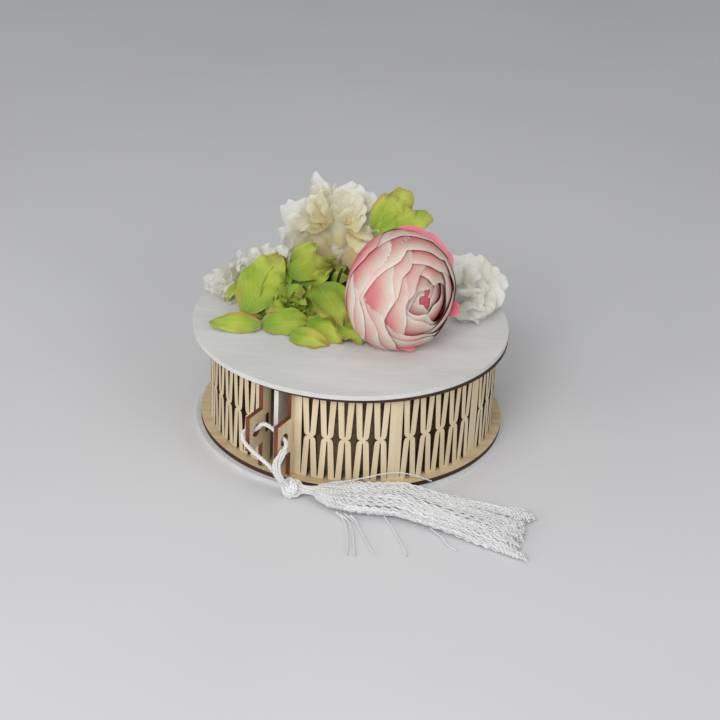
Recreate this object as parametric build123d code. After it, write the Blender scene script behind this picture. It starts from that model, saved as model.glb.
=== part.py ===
from build123d import *
import math
import os

os.makedirs("parts", exist_ok=True)

# A round cheese box: two stacks of plywood discs, a wall of laser-cut slats whose two
# front sections bend open as doors, a cord and tassel through the door lugs, and
# fabric flowers glued on the lid. Millimetres, floor at z = 0, front towards -Y.

# discs and wall
ply = 3.0
base_dia = 198.0
base_shift = 1.0
lid_dia = 200.0
ring_disc_dia = 195.0
wall_outer_r = 91.5
wall_height = 58.0
glue_shift = 2.8
fit_gap = 0.1
door_clear = 0.3

# slat pattern
post_count = 8
cells_per_section = 5
post_arc = 7.6
strip_arc = 4.6
notch_edge_half = 1.4
notch_tip_half = 0.3
notch_flare = 0.9
neck_half_height = 2.2
star_end_gap = 1.6
star_tip_half = 0.3
star_body_half = 1.8
star_body_height = 2.8
star_tail_half = 0.22
tail_gap = 1.75
cut_margin = 1.0

# doors
gap_azimuth = -28.5
ear_spread = 16.8
knuckle_r = 1.5
knuckle_clear = 0.06
ear_strip_in = 85.6
ear_strip_out = 94.2
ear_tab_out = 108.7
ear_tab_height = 23.0
ear_hole_dia = 8.0
ear_hole_r = 101.4
ear_tenon_height = 12.4

# partition and its tenons
partition_azimuth = -29.7
partition_front_r = 90.0
partition_tenon = 20.0
post_tenon = 5.0

# cord and tassel
cord_dia = 2.4
knot_dia = 11.5
neck_dia = 6.6
skirt_clear = 0.35

# flowers
rose_dia = 73.0
peony_dia = 58.0
left_white_dia = 54.0
right_white_dia = 50.0
petal_thick = 1.2
bloom_gap = 0.4
stem_dia = 5.0
twig_dia = 2.0

# plain angles and the middle of a cell
full_turn = 360
quarter_turn = 90
half_share = 0.5

wall_inner_r = wall_outer_r - ply
wall_mid_r = wall_outer_r - ply / 2
ring_floor_z = ply
wall_low_z = 2 * ply
wall_high_z = wall_low_z + wall_height
mid_z = wall_low_z + wall_height / 2
lid_z = wall_high_z + ply
top_z = lid_z + ply
half_height = wall_height / 2
base_r = base_dia / 2
lid_r = lid_dia / 2
ring_disc_r = ring_disc_dia / 2


def largest(shape):
    return max(shape.solids(), key=lambda solid: solid.volume)


def arc_angle(length):
    return math.degrees(length / wall_mid_r)


# The wall ends lie in planes parallel to the gap, on the outer faces of the lugs.
end_angle = math.degrees(math.asin((ear_spread / 2 + ply) / wall_mid_r))
strip_angle = arc_angle(strip_arc)
post_angle = arc_angle(post_arc)
door_count = 2
section_count = post_count + 1
free_angle = full_turn - 2 * end_angle - door_count * strip_angle - post_count * post_angle
cell_angle = free_angle / (section_count * cells_per_section)
section_angle = cell_angle * cells_per_section
half_cell = math.radians(cell_angle) * wall_mid_r / 2


def drum_point(azimuth, radius, z=0):
    a = math.radians(azimuth)
    return Vector(glue_shift + radius * math.sin(a), -radius * math.cos(a), z)


def radial_plane(azimuth):
    # x runs along the wall to the right as seen from outside, y up, z outward
    a = math.radians(azimuth)
    return Plane(
        origin=drum_point(azimuth, wall_inner_r - cut_margin, mid_z),
        x_dir=(math.cos(a), math.sin(a), 0),
        z_dir=(math.sin(a), -math.cos(a), 0),
    )


def radial_cut(points, azimuth):
    sketch = radial_plane(azimuth) * make_face(Polyline(*points, close=True))
    return extrude(sketch, ply + 2 * cut_margin)


def disc(dia, low_z, centre_x=0):
    return Pos(centre_x, 0, low_z + ply / 2) * Cylinder(dia / 2, ply)


def ring_sector(start, end, low_z, high_z, spare=0):
    # the part of the wall from one azimuth to another
    height = high_z - low_z + 2 * spare
    middle = Pos(glue_shift, 0, (low_z + high_z) / 2)
    plane = Plane.XZ
    half = ply / 2 + spare
    face = plane * Pos(wall_mid_r, 0) * Rectangle(2 * half, height)
    turned = revolve(face, Axis.Z, end - start)
    return middle * Rot(0, 0, start - quarter_turn) * turned


def cylinder_at(azimuth, radius, height):
    spot = drum_point(azimuth, wall_mid_r, mid_z)
    return Pos(spot) * Cylinder(radius, height)


def notch_cuts(azimuth):
    # the two V notches of one cross, flared at the edge into rounded slat ends
    cuts = []
    for side in (1, -1):
        edge = side * (half_height + cut_margin)
        rim = side * half_height
        flare = notch_edge_half + notch_flare
        right = [
            (notch_tip_half, side * neck_half_height),
            (notch_edge_half, rim - side * 2 * notch_flare),
            (notch_edge_half + notch_flare / 4, rim - side * notch_flare / 2),
            (flare, rim),
            (flare, edge),
        ]
        left = [(-x, y) for x, y in reversed(right)]
        cuts.append(radial_cut(left + right, azimuth))
    return cuts


# how far out and how high the body of a closed cut goes, in shares of its tail and body
star_body_shares = ((-0.1, 1.3), (0.0, 0.85), (0.2, 0.45), (0.5, 0.18))


def star_quarter():
    # one quarter of the closed cut between two crosses, from its tip to its tail
    tail = half_cell - tail_gap
    reach = tail - star_body_half
    points = [(star_tip_half, half_height - star_end_gap)]
    for out_share, up_share in star_body_shares:
        points.append((star_body_half + out_share * reach, up_share * star_body_height))
    points.append((tail, star_tail_half))
    return points


def star_cut(azimuth, left=True, right=True):
    quarter = star_quarter()
    upper_right = [(x, y) for x, y in quarter]
    lower_right = [(x, -y) for x, y in reversed(quarter)]
    lower_left = [(-x, -y) for x, y in quarter]
    upper_left = [(-x, y) for x, y in reversed(quarter)]
    shape = []
    if right:
        shape += upper_right + lower_right
    else:
        shape += [(0, quarter[0][1]), (0, -quarter[0][1])]
    if left:
        shape += lower_left + upper_left
    else:
        shape += [(0, -quarter[0][1]), (0, quarter[0][1])]
    return radial_cut(shape, azimuth)


def section_cuts(start):
    cuts = []
    for cell in range(cells_per_section):
        cuts += notch_cuts(start + (cell + half_share) * cell_angle)
    for edge in range(1, cells_per_section):
        cuts.append(star_cut(start + edge * cell_angle))
    cuts.append(star_cut(start, left=False))
    cuts.append(star_cut(start + section_angle, right=False))
    return cuts


right_door_start = gap_azimuth + end_angle + strip_angle
left_door_start = gap_azimuth - end_angle - strip_angle - section_angle
post_starts = []
for number in range(post_count):
    post_starts.append(right_door_start + section_angle + number * (post_angle + section_angle))


def right_hinge(number):
    # hinge 1 is next to the post, the last one next to the lug
    return right_door_start + (cells_per_section - number + half_share) * cell_angle


def left_hinge(number):
    return left_door_start + (number - half_share) * cell_angle


def knuckle_socket(azimuth):
    height = 2 * (neck_half_height + knuckle_clear)
    return cylinder_at(azimuth, knuckle_r + knuckle_clear, height)


def knuckle(azimuth):
    return cylinder_at(azimuth, knuckle_r, 2 * neck_half_height)


def gap_box(x_from, x_to, r_from, r_to, z_from, z_to):
    # a box beside the gap: x across it, r outward along it
    size = Box(x_to - x_from, r_to - r_from, z_to - z_from)
    spot = Pos((x_from + x_to) / 2, -(r_from + r_to) / 2, (z_from + z_to) / 2)
    return gap_frame * spot * size


def gap_point(across, radius, z):
    a = math.radians(gap_azimuth)
    out = Vector(math.sin(a), -math.cos(a), 0)
    side = Vector(math.cos(a), math.sin(a), 0)
    return Vector(glue_shift, 0, z) + out * radius + side * across


gap_frame = Pos(glue_shift, 0, 0) * Rot(0, 0, gap_azimuth)


def post_tenons(post, spare, low_z, high_z):
    # the solid strip's tenon, or with spare the slot that takes it
    middle = post + post_angle / 2
    half = arc_angle(post_tenon / 2 + spare)
    return ring_sector(middle - half, middle + half, low_z, high_z, spare)


# where in a solid strip two panels meet
joint_share = 0.08


def make_wall():
    # built section by section, joined inside the solid strips
    joints = [post + joint_share * post_angle for post in post_starts]
    edges = [right_hinge(1)] + joints + [full_turn + left_hinge(1)]
    panels = []
    for number, (start, end) in enumerate(zip(edges, edges[1:])):
        panel = ring_sector(start, end, wall_low_z, wall_high_z)
        if number == 0:
            panel -= section_cuts(right_door_start)
            panel += knuckle(right_hinge(1))
        else:
            post = post_starts[number - 1]
            panel -= section_cuts(post + post_angle)
            panel += post_tenons(post, 0, ring_floor_z, lid_z)
        if number == post_count:
            panel += knuckle(left_hinge(1))
        panels.append(largest(panel))
    return panels[0] + panels[1:]


def leaf_blank(start, end):
    return ring_sector(start, end, wall_low_z + door_clear, wall_high_z - door_clear)


def make_leaf(side, number):
    # side is 1 for the right door and -1 for the left one
    hinge = right_hinge if side > 0 else left_hinge
    near = hinge(number)
    if number < cells_per_section:
        far = hinge(number + 1)
    else:
        far = gap_azimuth
    leaf = leaf_blank(min(near, far), max(near, far))
    start = right_door_start if side > 0 else left_door_start
    leaf -= section_cuts(start)
    leaf -= knuckle_socket(near)
    if number < cells_per_section:
        return leaf + knuckle(far)
    outer = ear_spread / 2 + ply
    inner = ear_spread / 2
    low = mid_z - ear_tenon_height / 2
    high = mid_z + ear_tenon_height / 2
    for z_from, z_to in ((0, low), (high, top_z)):
        leaf -= gap_box(-outer, outer, 0, ear_tab_out, z_from, z_to)
    return leaf - gap_box(-inner, inner, 0, ear_tab_out, 0, top_z)


def make_ear(side):
    inner = ear_spread / 2
    outer = inner + ply
    x_from, x_to = sorted((side * inner, side * outer))
    low = wall_low_z + door_clear
    high = wall_high_z - door_clear
    ear = gap_box(x_from, x_to, ear_strip_in, ear_strip_out, low, high)
    tab_low = mid_z - ear_tab_height / 2
    tab_high = mid_z + ear_tab_height / 2
    ear += gap_box(x_from, x_to, ear_strip_out, ear_tab_out, tab_low, tab_high)
    hole = Pos(side * (inner + ply / 2), -ear_hole_r, mid_z) * Rot(0, quarter_turn, 0)
    ear -= gap_frame * hole * Cylinder(ear_hole_dia / 2, 2 * ply)
    # closed slot for the tenon at the end of the slats
    near_r = math.sqrt(wall_inner_r**2 - outer**2) - fit_gap
    far_r = math.sqrt(wall_outer_r**2 - inner**2) + fit_gap
    half = ear_tenon_height / 2 + fit_gap
    ear -= gap_box(x_from, x_to, near_r, far_r, mid_z - half, mid_z + half)
    return ear


def partition_frame():
    return Pos(glue_shift, 0, 0) * Rot(0, 0, partition_azimuth)


partition_rear_r = wall_inner_r - fit_gap
partition_length = partition_front_r + partition_rear_r
tenon_place_shares = (0.25, 0.75)


def partition_tenons(spare, low_z, high_z):
    blocks = []
    for share in tenon_place_shares:
        y = -partition_front_r + share * partition_length
        size = Box(ply + 2 * spare, partition_tenon + 2 * spare, high_z - low_z)
        blocks.append(partition_frame() * Pos(0, y, (low_z + high_z) / 2) * size)
    return blocks


def make_partition():
    y = (partition_rear_r - partition_front_r) / 2
    plate = Box(ply, partition_length, wall_height)
    plate = partition_frame() * Pos(0, y, mid_z) * plate
    for tenon in partition_tenons(0, ring_floor_z, lid_z):
        plate += tenon
    return plate


def make_ring_disc(low_z):
    plate = disc(ring_disc_dia, low_z, glue_shift)
    cuts = partition_tenons(fit_gap, low_z, low_z + ply)
    for post in post_starts:
        cuts.append(post_tenons(post, fit_gap, low_z, low_z + ply))
    return plate - cuts


def towards(azimuth, elevation):
    # unit vector: azimuth from the front towards +X, elevation above the lid
    a = math.radians(azimuth)
    e = math.radians(elevation)
    return Vector(math.cos(e) * math.sin(a), -math.cos(e) * math.cos(a), math.sin(e))


def on_lid(share_x, share_y, share_z):
    # a place given in shares of the lid radius, heights counted from the lid's top
    return Vector(share_x * lid_r, share_y * lid_r, top_z + share_z * lid_r)


# radius of a petal's dish in shares of its length
dish_share = 1.1


def petal(base, tip, width, normal):
    # a pointed oval leaf, dished like a shallow bowl
    along = tip - base
    length = along.length
    up = normal - along * (normal.dot(along) / along.dot(along))
    dish = dish_share * length
    upper = ThreePointArc((0, 0), (length / 2, width / 2), (length, 0))
    lower = ThreePointArc((length, 0), (length / 2, -width / 2), (0, 0))
    blank = extrude(make_face([upper, lower]), length)
    shell = Sphere(dish) - Sphere(dish - petal_thick)
    leaf = blank & (Pos(length / 2, 0, dish) * shell)
    place = Plane(origin=base, x_dir=along, z_dir=up)
    return place.location * leaf


ring_radius_shares = (1.0, 0.83, 0.67, 0.52, 0.38, 0.24, 0.11)
ring_height_shares = (0.12, 0.34, 0.47, 0.54, 0.57, 0.55, 0.5)


# the underside of a flower head: how far out, and how far back of its full depth
back_shares = ((0.0, 1.0), (0.45, 0.92), (0.85, 0.5), (1.0, 0.1))


def bloom(dia, rings, depth_share):
    # nested petal cups: a turned body whose rims step inwards like the real layers
    r = dia / 2
    groove = petal_thick
    back = depth_share * r
    points = [(out_share * r, -back_share * back) for out_share, back_share in back_shares]
    shares = list(zip(ring_radius_shares, ring_height_shares))[:rings]
    for radius_share, height_share in shares:
        rim = radius_share * r
        points.append((rim, height_share * r - 2 * groove))
        points.append((rim - groove / 2, height_share * r))
        points.append((rim - 2 * groove, height_share * r - 4 * groove))
    points.append((0, points[-1][1]))
    face = make_face(Polyline(*[(x, y) for x, y in points], close=True))
    return revolve(Plane.XZ * face, Axis.Z, full_turn)


def placed_bloom(dia, rings, depth_share, centre, facing):
    place = Plane(origin=centre, z_dir=facing)
    return place.location * bloom(dia, rings, depth_share)


def stem(foot_x, foot_y, height):
    return Pos(foot_x, foot_y, top_z + height / 2) * Cylinder(stem_dia / 2, height)


def above_lid(shape):
    block = Pos(0, 0, top_z - lid_r) * Box(2 * base_dia, 2 * base_dia, 2 * lid_r)
    return shape - block


rose_depth_share = 0.55
peony_depth_share = 1.1
rose_centre = on_lid(0.313, -0.25, 0.352)
rose_facing = towards(28, 21)
peony_centre = on_lid(-0.122, 0.56, 0.36)
peony_facing = towards(-10, 55)
left_white_centre = on_lid(-0.7, 0.27, 0.12)
left_white_facing = towards(-40, 60)
right_white_centre = on_lid(0.72, 0.17, 0.17)
right_white_facing = towards(35, 55)


# the ruffles stand out beyond the head, so the neighbours keep this much away
peony_room_share = 1.1
white_room_share = 1.15


def keep_out(centre, dia):
    return Pos(centre) * Sphere(dia / 2 + bloom_gap)


def make_rose():
    head = placed_bloom(rose_dia, rose_rings, rose_depth_share, rose_centre, rose_facing)
    return largest(above_lid(head))


rose_rings = 7
sepal_share = 0.3


def make_rose_sepals():
    # a green cup behind the rose with the glued foot that holds it
    back = rose_centre - rose_facing * (rose_depth_share * rose_dia / 2)
    foot_height = back.Z - top_z
    cup = Plane(origin=back, z_dir=rose_facing).location * Cylinder(sepal_share * rose_dia / 2, stem_dia)
    body = cup + stem(back.X, back.Y, foot_height)
    return largest(body - make_rose())


peony_rings = 6
peony_ruffles = 7
peony_tilt = 12
ruffle_rise = 35
# where a ruffle starts and ends, how much higher its tip is and its width, in head diameters
ruffle_shares = (0.175, 0.51, 0.1, 0.5)


def make_peony():
    head = placed_bloom(peony_dia, peony_rings, peony_depth_share, peony_centre, peony_facing)
    start, end, rise, width = [share * peony_dia for share in ruffle_shares]
    ruffles = []
    for number in range(peony_ruffles):
        out = towards(peony_tilt + number * full_turn / peony_ruffles, ruffle_rise)
        base = peony_centre + out * start
        tip = peony_centre + out * end + Vector(0, 0, rise)
        ruffles.append(petal(base, tip, width, peony_facing))
    body = head + ruffles + stem(peony_centre.X, peony_centre.Y, peony_centre.Z - top_z)
    body -= keep_out(rose_centre, rose_dia)
    return largest(above_lid(body))


white_rings = 3
white_petals = 5
white_depth_share = 1.0
# heart, petal start, petal end, rise of the tip and petal width, in flower diameters
white_shares = (0.5, 0.1, 0.56, 0.08, 0.42)


def make_white(dia, centre, facing, tilt):
    # open petals round a small heart
    heart_dia, start, end, rise, width = [share * dia for share in white_shares]
    heart = placed_bloom(heart_dia, white_rings, white_depth_share, centre, facing)
    body = heart + stem(centre.X, centre.Y, centre.Z - top_z)
    frame_plane = Plane(origin=centre, z_dir=facing)
    for number in range(white_petals):
        a = math.radians(tilt + number * full_turn / white_petals)
        out = frame_plane.x_dir * math.cos(a) + frame_plane.y_dir * math.sin(a)
        base = centre + out * start
        tip = centre + out * end + facing * rise
        body += petal(base, tip, width, facing)
    body -= keep_out(rose_centre, rose_dia)
    body -= keep_out(peony_centre, peony_room_share * peony_dia)
    return largest(above_lid(body))


# base x, y, z and tip x, y, z in shares of the lid radius, then the width share
green_petal_shares = (
    (-0.57, -0.18, 0.10, -0.52, 0.20, 0.30, 0.24),
    (-0.55, -0.22, 0.12, -0.43, 0.06, 0.30, 0.14),
    (-0.66, 0.02, 0.08, -0.81, 0.14, 0.06, 0.14),
    (-0.55, -0.22, 0.07, -0.87, -0.17, 0.02, 0.15),
    (-0.53, -0.38, 0.09, -0.24, -0.26, 0.10, 0.20),
    (-0.47, -0.09, 0.22, -0.24, -0.28, 0.18, 0.16),
    (-0.17, -0.16, 0.10, -0.12, -0.14, 0.34, 0.24),
    (-0.24, -0.33, 0.12, -0.04, -0.46, 0.04, 0.20),
    (-0.35, -0.40, 0.07, -0.06, -0.53, 0.03, 0.20),
    (-0.06, -0.26, 0.08, 0.05, -0.37, 0.02, 0.14),
    (-0.41, 0.09, 0.26, -0.13, 0.11, 0.31, 0.18),
    (-0.53, 0.18, 0.26, -0.40, 0.20, 0.33, 0.12),
    (-0.39, 0.20, 0.26, -0.24, 0.22, 0.37, 0.14),
)
green_heart = on_lid(-0.37, -0.08, 0)
green_heart_shares = (0.28, 0.17)
# how far the foot of each petal is drawn into the dome
root_share = 0.4


def make_green_cluster():
    # a low dome of short stalks with the leaf-like petals set into it
    radius = green_heart_shares[0] * lid_r
    height = green_heart_shares[1] * lid_r
    dome_r = (radius**2 + height**2) / (2 * height)
    body = Pos(green_heart.X, green_heart.Y, top_z + height - dome_r) * Sphere(dome_r)
    heart = Vector(green_heart.X, green_heart.Y, top_z)
    for bx, by, bz, tx, ty, tz, width in green_petal_shares:
        base = on_lid(bx, by, bz)
        tip = on_lid(tx, ty, tz)
        rooted = base + (heart + Vector(0, 0, height / 2) - base) * root_share
        outward = (base + tip) / 2 - heart + Vector(0, 0, height)
        body += petal(rooted, tip, width * lid_r, outward)
    body = above_lid(body)
    body -= keep_out(rose_centre, rose_dia)
    body -= keep_out(peony_centre, peony_room_share * peony_dia)
    body -= keep_out(left_white_centre, white_room_share * left_white_dia)
    return largest(body)


green_back_foot = on_lid(0.26, 0.52, 0)
green_back_height_share = 0.5
green_back_width_share = 0.24
# azimuth and elevation of each petal, with its reach in shares of the lid radius
green_back_turns = ((95, 12, 0.30), (20, 35, 0.28), (140, 40, 0.27), (60, 60, 0.28))


def make_green_back():
    # lime petals on a stem behind the rose
    foot = green_back_foot
    height = green_back_height_share * lid_r
    body = stem(foot.X, foot.Y, height)
    base = Vector(foot.X, foot.Y, top_z + height - stem_dia)
    for azimuth, elevation, reach in green_back_turns:
        tip = base + towards(azimuth, elevation) * (reach * lid_r)
        facing = towards(azimuth, elevation - quarter_turn)
        body += petal(base, tip, green_back_width_share * lid_r, facing)
    body -= keep_out(rose_centre, rose_dia)
    body -= keep_out(peony_centre, peony_room_share * peony_dia)
    return largest(body)


twig_shares = ((-0.08, 0.14, -0.02), (-0.1, 0.12, 0.15), (-0.07, 0.09, 0.3))


def make_twig():
    path = Spline(*[on_lid(x, y, z) for x, y, z in twig_shares])
    section = Plane(origin=path @ 0, z_dir=path % 0) * Circle(twig_dia / 2)
    return above_lid(sweep(section, path))


# across, outward and height places of the cord, in shares of the gap between the
# lugs, of the wall radius and of the wall height
cord_route_shares = (
    (1.10, 1.182, 0.175),
    (0.74, 1.213, 0.262),
    (0.50, 1.218, 0.352),
    (0.03, 1.219, 0.420),
    (-0.46, 1.217, 0.490),
    (-0.84, 1.190, 0.553),
    (-0.87, 1.135, 0.612),
    (-0.52, 1.108, 0.600),
    (-0.25, 1.108, 0.722),
    (0.13, 1.108, 0.700),
    (0.49, 1.108, 0.635),
    (0.84, 1.118, 0.600),
    (0.86, 1.170, 0.520),
    (0.72, 1.215, 0.420),
    (0.70, 1.235, 0.300),
    (0.98, 1.215, 0.215),
)


def cord_points():
    points = []
    for across, out, up in cord_route_shares:
        points.append(gap_point(across * ear_spread, out * wall_outer_r, up * wall_height))
    return points


def cord_radii(points):
    radii = []
    for before, here, after in zip(points, points[1:], points[2:]):
        first = here - before
        second = after - here
        turn = math.radians(first.get_angle(second))
        run = min(first.length, second.length)
        radii.append(0.45 * run / math.tan(turn / 2))
    return radii


def make_cord():
    points = cord_points()
    radii = cord_radii(points)
    print("cord bend radii", [round(r, 1) for r in radii])
    path = FilletPolyline(*points, radius=radii)
    print("cord length", round(path.length, 1))
    section = Plane(origin=path @ 0, z_dir=path % 0) * Circle(cord_dia / 2)
    tube = sweep(section, path)
    print("cord volume share", round(tube.volume / (section.area * path.length), 3))
    return largest(tube - make_knot())


# tassel places in shares of the base disc's radius
knot_share = (-0.306, -1.029, 0.063)
neck_end_share = (-0.1185, -1.061, 0.066)
skirt_station_shares = (
    (-0.1185, -1.061, 0.066, 0.035, 0.039),
    (0.062, -1.079, 0.068, 0.098, 0.0515),
    (0.350, -1.102, 0.066, 0.155, 0.058),
    (0.711, -1.221, 0.041, 0.180, 0.037),
    (0.989, -1.319, 0.031, 0.2215, 0.027),
    (1.092, -1.355, 0.029, 0.247, 0.021),
)
skirt_ridges = 22
skirt_ridge_share = 0.22
skirt_turn = 12


def tassel_place(share):
    return Vector(share[0] * base_r, share[1] * base_r, share[2] * base_r)


def tassel_line():
    # the axis of the knot and neck, and where the neck leaves the ball
    knot = tassel_place(knot_share)
    end = tassel_place(neck_end_share)
    along = (end - knot).normalized()
    flat = math.sqrt((knot_dia / 2)**2 - (neck_dia / 2)**2)
    return knot, along, flat, (end - knot).length


def make_knot():
    knot, along, flat, _ = tassel_line()
    beyond = Pos(0, 0, flat + knot_dia) * Cylinder(knot_dia, 2 * knot_dia)
    return Plane(origin=knot, z_dir=along).location * (Sphere(knot_dia / 2) - beyond)


def make_neck():
    knot, along, flat, length = tassel_line()
    body = Pos(0, 0, (flat + length) / 2) * Cylinder(neck_dia / 2, length - flat)
    return Plane(origin=knot, z_dir=along).location * body


def skirt_section(station):
    # a flat oval with one ridge per bundle of threads
    x, y, z, half_width, half_thick = station
    points = []
    for step in range(2 * skirt_ridges):
        a = math.pi * step / skirt_ridges
        grow = 1 if step % 2 else 1 - skirt_ridge_share
        points.append((grow * half_width * base_r * math.cos(a), grow * half_thick * base_r * math.sin(a)))
    place = Plane(
        origin=tassel_place((x, y, z)),
        x_dir=(math.sin(math.radians(skirt_turn)), math.cos(math.radians(skirt_turn)), 0),
        z_dir=(math.cos(math.radians(skirt_turn)), -math.sin(math.radians(skirt_turn)), 0),
    )
    return place * make_face(Polyline(*points, close=True))


def make_skirt():
    body = loft([skirt_section(station) for station in skirt_station_shares], ruled=True)
    rim = Pos(base_shift, -base_shift, ply / 2) * Cylinder(base_r + skirt_clear, ply + 2 * skirt_clear)
    ring_z = ply + ply / 2
    ring = Pos(glue_shift, 0, ring_z) * Cylinder(ring_disc_r + skirt_clear, ply + 2 * skirt_clear)
    floor = Pos(0, 0, -base_r) * Box(2 * base_dia, 2 * base_dia, 2 * base_r)
    return largest(body - rim - ring - floor - make_neck())


def make_parts():
    parts = {
        "base_plate": Pos(base_shift, -base_shift, 0) * disc(base_dia, 0),
        "lower_disc": make_ring_disc(ring_floor_z),
        "wall": make_wall(),
        "partition": make_partition(),
        "upper_disc": make_ring_disc(wall_high_z),
        "lid_plate": disc(lid_dia, lid_z),
    }
    for name, side in (("right", 1), ("left", -1)):
        for number in range(1, cells_per_section + 1):
            parts[f"{name}_leaf_{number}"] = make_leaf(side, number)
        parts[f"{name}_ear"] = make_ear(side)
    parts["rose"] = make_rose()
    parts["rose_sepals"] = make_rose_sepals()
    parts["cream_peony"] = make_peony()
    parts["white_flower_left"] = make_white(left_white_dia, left_white_centre, left_white_facing, 20)
    parts["white_flower_right"] = make_white(right_white_dia, right_white_centre, right_white_facing, 50)
    parts["green_cluster"] = make_green_cluster()
    parts["green_back"] = make_green_back()
    parts["twig"] = make_twig()
    parts["cord"] = make_cord()
    parts["tassel_knot"] = make_knot()
    parts["tassel_neck"] = make_neck()
    parts["tassel_skirt"] = make_skirt()
    return parts


for name, shape in make_parts().items():
    solids = shape.solids()
    box = shape.bounding_box()
    print(name, len(solids), "solid", round(shape.volume), "mm3", box.min, box.max)
    export_step(shape, f"parts/{name}.step")
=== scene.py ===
import math
import random

import bpy
from mathutils import Matrix, Vector, noise


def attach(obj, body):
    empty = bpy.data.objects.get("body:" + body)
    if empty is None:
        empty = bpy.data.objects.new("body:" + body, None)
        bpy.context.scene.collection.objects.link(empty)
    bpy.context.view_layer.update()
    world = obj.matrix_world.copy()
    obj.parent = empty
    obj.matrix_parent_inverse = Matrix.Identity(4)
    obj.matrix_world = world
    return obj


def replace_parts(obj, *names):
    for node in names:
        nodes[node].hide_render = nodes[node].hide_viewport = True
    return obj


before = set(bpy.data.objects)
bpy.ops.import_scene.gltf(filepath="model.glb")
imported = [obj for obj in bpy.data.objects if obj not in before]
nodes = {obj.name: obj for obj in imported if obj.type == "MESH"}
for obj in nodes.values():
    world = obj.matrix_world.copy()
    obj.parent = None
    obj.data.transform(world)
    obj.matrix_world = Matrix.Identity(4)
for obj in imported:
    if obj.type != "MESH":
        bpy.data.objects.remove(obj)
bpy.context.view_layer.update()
mm = 0.001
rng = random.Random(11)

# sizes in millimetres, as in the CAD; angles from the front, to the right
drumShift = 2.8
gapAngle = math.radians(-28.5)
partitionAngle = math.radians(-29.7)
wallRadius = 91.5
wallHeight = 58.0
earSpread = 16.8
baseRadius = 99.0
baseShift = 1.0
baseTop = 3.0
ringRadius = 97.5
ringTop = 6.0
lidRadius = 100.0
lidTop = 70.0


def linear(hexText):
    values = [int(hexText[i:i + 2], 16) / 255 for i in (0, 2, 4)]
    return [v / 12.92 if v <= 0.04045 else ((v + 0.055) / 1.055) ** 2.4 for v in values] + [1.0]


# the camera, fitted to the outlines of the discs and slats in the photograph
view = {
    "place": Vector((0.004228 + drumShift * mm, -0.928969, 0.535941)),
    "forward": Vector((0, 0.88243, -0.47044)).normalized(),
    "roll": math.radians(2.71),
    "focal": 1637.6,
    "size": 720,
}


def viewAxes():
    right = Vector((1, 0, 0))
    up = right.cross(view["forward"])
    c, s = math.cos(view["roll"]), math.sin(view["roll"])
    return right * c + up * s, up * c - right * s


def seen(x, y, height):
    # the place at a height over the lid that shows at x, y of the picture
    right, up = viewAxes()
    half = view["size"] / 2
    ray = view["forward"] * view["focal"] + right * (x - half) + up * (half - y)
    reach = ((lidTop + height) * mm - view["place"].z) / ray.z
    return (view["place"] + ray * reach) / mm


towardsView = Vector((0, -0.88, 0.47))


class Graph:
    def __init__(self, name, **sockets):
        self.material = bpy.data.materials.new(name)
        self.material.use_nodes = True
        self.tree = self.material.node_tree
        self.shader = next(n for n in self.tree.nodes if n.type == "BSDF_PRINCIPLED")
        for key, value in sockets.items():
            self.shader.inputs[key.replace("_", " ")].default_value = value

    def add(self, kind, **settings):
        node = self.tree.nodes.new(kind)
        for key, value in settings.items():
            setattr(node, key, value)
        return node

    def link(self, source, target):
        self.tree.links.new(source, target)

    def feed(self, value, socket):
        if hasattr(value, "is_linked"):
            self.link(value, socket)
        else:
            socket.default_value = linear(value) if isinstance(value, str) else value

    def calc(self, operation, *values):
        node = self.add("ShaderNodeMath", operation=operation)
        for value, socket in zip(values, node.inputs):
            self.feed(value, socket)
        return node.outputs[0]

    def coords(self, scale):
        texture = self.add("ShaderNodeTexCoord")
        mapping = self.add("ShaderNodeMapping")
        mapping.inputs["Scale"].default_value = scale
        self.link(texture.outputs["Object"], mapping.inputs["Vector"])
        return mapping.outputs["Vector"]

    def unrolled(self):
        # the map, and its U and V alone
        uv = self.add("ShaderNodeUVMap").outputs["UV"]
        parts = self.add("ShaderNodeSeparateXYZ")
        self.link(uv, parts.inputs["Vector"])
        return uv, parts.outputs["X"], parts.outputs["Y"]

    def noise(self, vector, scale, detail=3, rough=0.55):
        node = self.add("ShaderNodeTexNoise")
        node.inputs["Scale"].default_value = scale
        node.inputs["Detail"].default_value = detail
        node.inputs["Roughness"].default_value = rough
        self.link(vector, node.inputs["Vector"])
        return node.outputs["Fac"]

    def ramp(self, value, stops):
        node = self.add("ShaderNodeValToRGB")
        elements = node.color_ramp.elements
        while len(elements) < len(stops):
            elements.new(0.5)
        for element, (place, colour) in zip(elements, stops):
            element.position = place
            element.color = linear(colour) if isinstance(colour, str) else (colour, colour, colour, 1)
        self.link(value, node.inputs["Fac"])
        return node.outputs["Color"]

    def mix(self, factor, first, second, blend="MIX"):
        node = self.add("ShaderNodeMix", data_type="RGBA", blend_type=blend)
        for value, index in ((factor, 0), (first, 6), (second, 7)):
            self.feed(value, node.inputs[index])
        return node.outputs[2]

    def colour(self, socket):
        self.link(socket, self.shader.inputs["Base Color"])

    def bump(self, height, strength, distance):
        node = self.add("ShaderNodeBump")
        node.inputs["Strength"].default_value = strength
        node.inputs["Distance"].default_value = distance
        self.link(height, node.inputs["Height"])
        self.link(node.outputs["Normal"], self.shader.inputs["Normal"])


def whitePaint():
    g = Graph("whitePaint", Roughness=0.62)
    broad = g.noise(g.coords((14, 55, 30)), 1.0, 4)
    fine = g.noise(g.coords((60, 500, 300)), 1.0, 3)
    base = g.ramp(broad, [(0.3, "CDCDCB"), (0.7, "DBDBD9")])
    g.colour(g.mix(0.12, base, g.ramp(fine, [(0.35, "B9B8B2"), (0.65, "E6E6E4")])))
    g.bump(fine, 0.12, 0.0004)
    return g.material


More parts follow.
